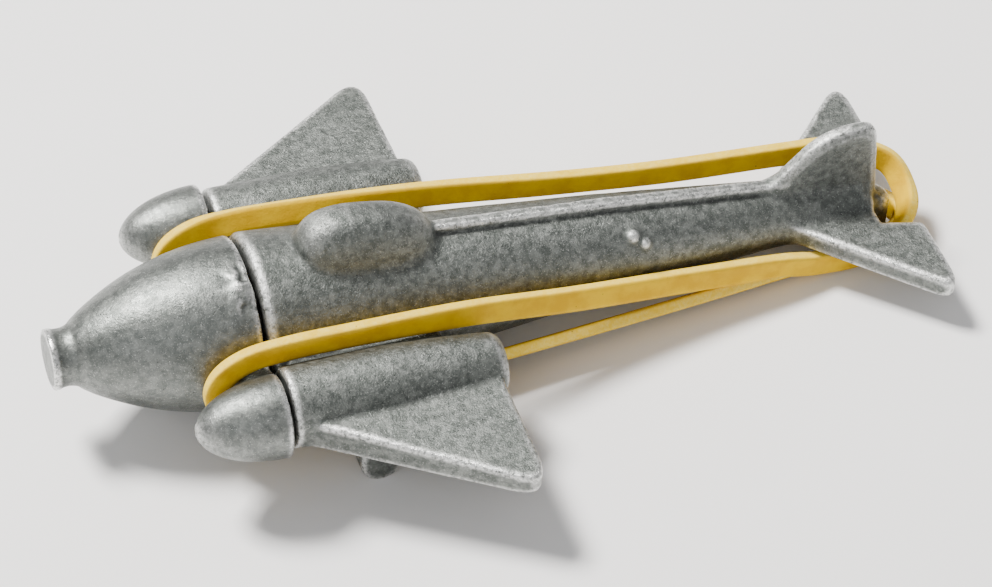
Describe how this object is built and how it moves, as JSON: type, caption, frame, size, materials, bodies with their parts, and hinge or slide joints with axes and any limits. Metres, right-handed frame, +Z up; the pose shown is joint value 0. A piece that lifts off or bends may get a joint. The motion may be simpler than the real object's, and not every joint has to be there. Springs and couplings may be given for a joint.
{
  "type": "cap-firing toy rocket",
  "caption": "Cast-zinc toy rocket plane whose nose casting slides on guide pegs and is held to the winged body by a stretched rubber band, to strike a paper cap.",
  "frame": {"origin": "on the surface the toy stands on, under the middle of its bounding box", "axes": "+X towards the nose, +Y to the port wing, +Z up; the rocket's own axis is pitched nose-up by 3.2 degrees in its rest stance"},
  "size_m": [0.114, 0.073, 0.0256],
  "materials": {
    "body_casting": "dull grey die-cast zinc alloy, mottled and finely pitted, with bright worn edges",
    "nose_casting": "smoother grey die-cast zinc alloy with a soft sheen and a cold-shut flaw near the rear rim",
    "worn_edge": "rubbed, brighter zinc on the raised seam along the back",
    "inner_metal": "darker zinc of the striking faces, guide pegs and tail hook",
    "rubber": "yellow rubber, chalky on top, with small nicks"
  },
  "bodies": {
    "airframe": {"fuselage": "body_casting", "canopy": "body_casting", "dorsal_spine": "worn_edge", "top_fin": "body_casting", "tail_hook": "inner_metal", "cap_anvil": "inner_metal", "rubber_band": "rubber", "left_tailplane": "body_casting", "left_wing": "body_casting", "left_engine_pod": "body_casting", "left_pod_bridge": "body_casting", "left_landing_foot": "body_casting", "right_tailplane": "body_casting", "right_wing": "body_casting", "right_engine_pod": "body_casting", "right_pod_bridge": "body_casting", "right_landing_foot": "body_casting"},
    "nose": {"nose_cone": "nose_casting", "nose_knob": "nose_casting", "striker": "inner_metal", "left_pod_nose": "nose_casting", "left_nose_web": "nose_casting", "left_guide_peg": "inner_metal", "right_pod_nose": "nose_casting", "right_nose_web": "nose_casting", "right_guide_peg": "inner_metal"}
  },
  "joints": [
    {"name": "nose_slide", "type": "slide", "parent": "airframe", "child": "nose", "axis": [0.9984, 0, 0.0565], "range_m": [0, 0.006], "stiffness_N_per_m": 100, "springref_m": -0.02, "deforming": ["rubber_band"]}
  ]
}
